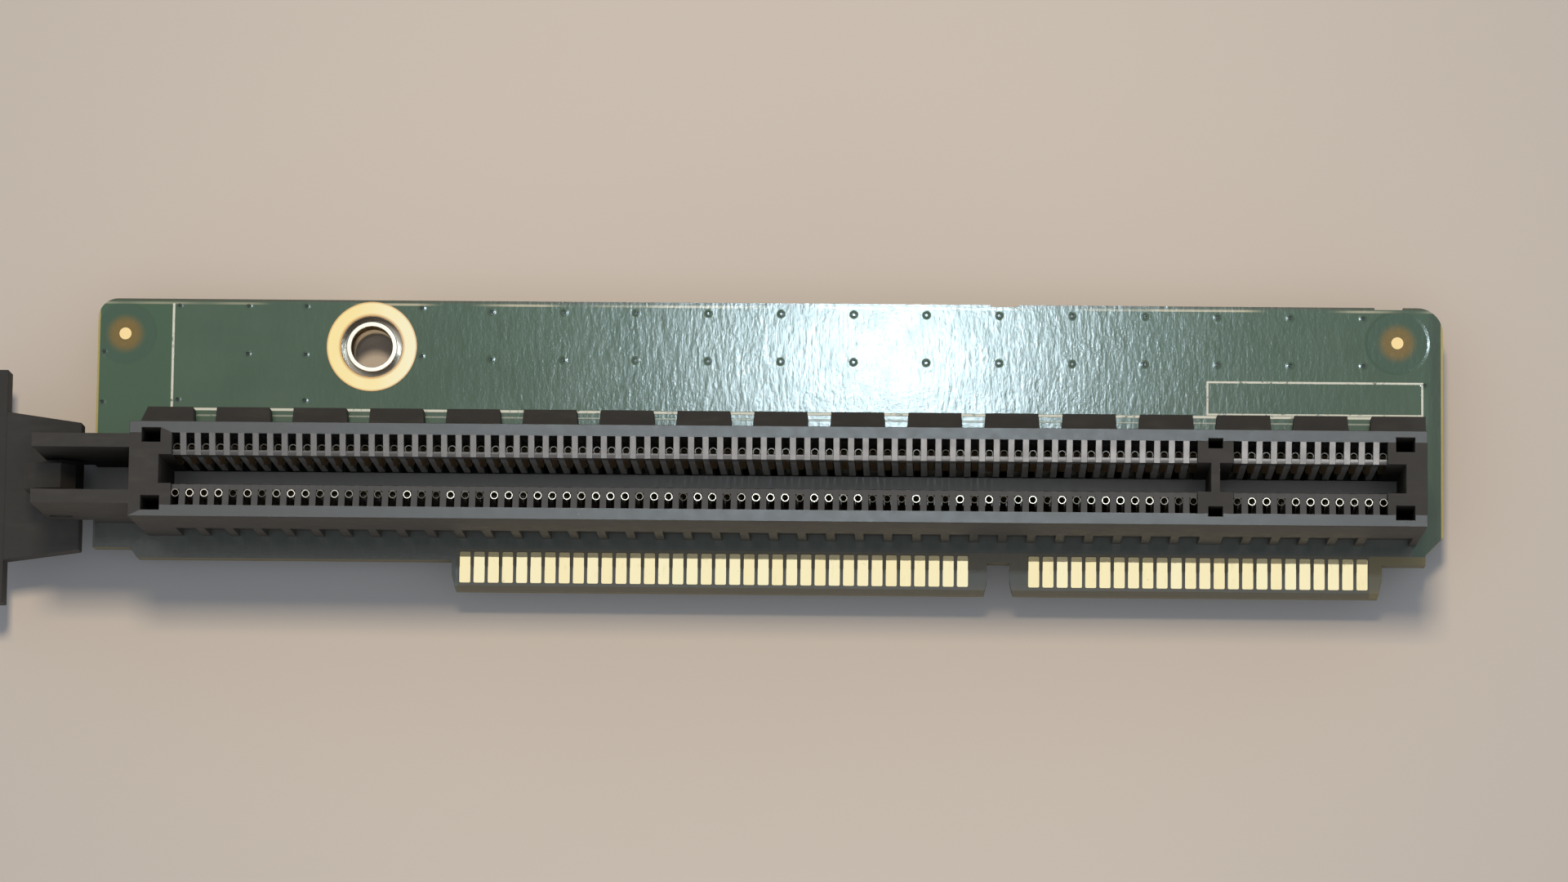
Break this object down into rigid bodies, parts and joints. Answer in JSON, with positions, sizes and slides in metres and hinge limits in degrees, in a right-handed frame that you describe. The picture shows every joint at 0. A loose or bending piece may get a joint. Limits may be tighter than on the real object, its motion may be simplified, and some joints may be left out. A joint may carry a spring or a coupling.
{
  "type": "pcie riser card",
  "caption": "Short expansion riser card with gold edge fingers on a keyed tongue, a full-length card slot with a hinged retention latch, and a fixing standoff.",
  "frame": {"origin": "middle of the key notch on the tongue's tip, half way through the board", "axes": "+X along the card away from the latch, +Y from the tongue's tip to the board's back edge, +Z out of the slot"},
  "size_m": [0.1032, 0.0218, 0.0155],
  "materials": {
    "board": "satin solder mask on glass laminate",
    "gold_plating": "bright gold plating",
    "standoff_steel": "turned, plated",
    "housing_plastic": "matt black moulding",
    "contact_metal": "gold over nickel",
    "solder": "bright wetted solder",
    "latch_plastic": "matt black moulding"
  },
  "bodies": {
    "card": {"circuit_board": "board", "edge_fingers_top_left": "gold_plating", "edge_fingers_top_right": "gold_plating", "edge_fingers_bottom_left": "gold_plating", "edge_fingers_bottom_right": "gold_plating", "mount_pad_top": "gold_plating", "mount_pad_bottom": "gold_plating", "fiducial_left": "gold_plating", "fiducial_right": "gold_plating", "mounting_standoff": "standoff_steel", "slot_housing": "housing_plastic", "contacts_front_short_outer": "contact_metal", "contacts_front_short_inner": "contact_metal", "contacts_front_long_outer": "contact_metal", "contacts_front_long_inner": "contact_metal", "contacts_back_short_outer": "contact_metal", "contacts_back_short_inner": "contact_metal", "contacts_back_long_outer": "contact_metal", "contacts_back_long_inner": "contact_metal", "solder_joints_front": "solder", "solder_joints_back": "solder"},
    "latch": {"retention_latch": "latch_plastic"}
  },
  "joints": [
    {"name": "latch_hinge", "type": "hinge", "parent": "card", "child": "latch", "pos_m": [-0.0656, 0.007, 0.0044], "axis": [0, 1, 0], "range_deg": [0, 28]}
  ]
}
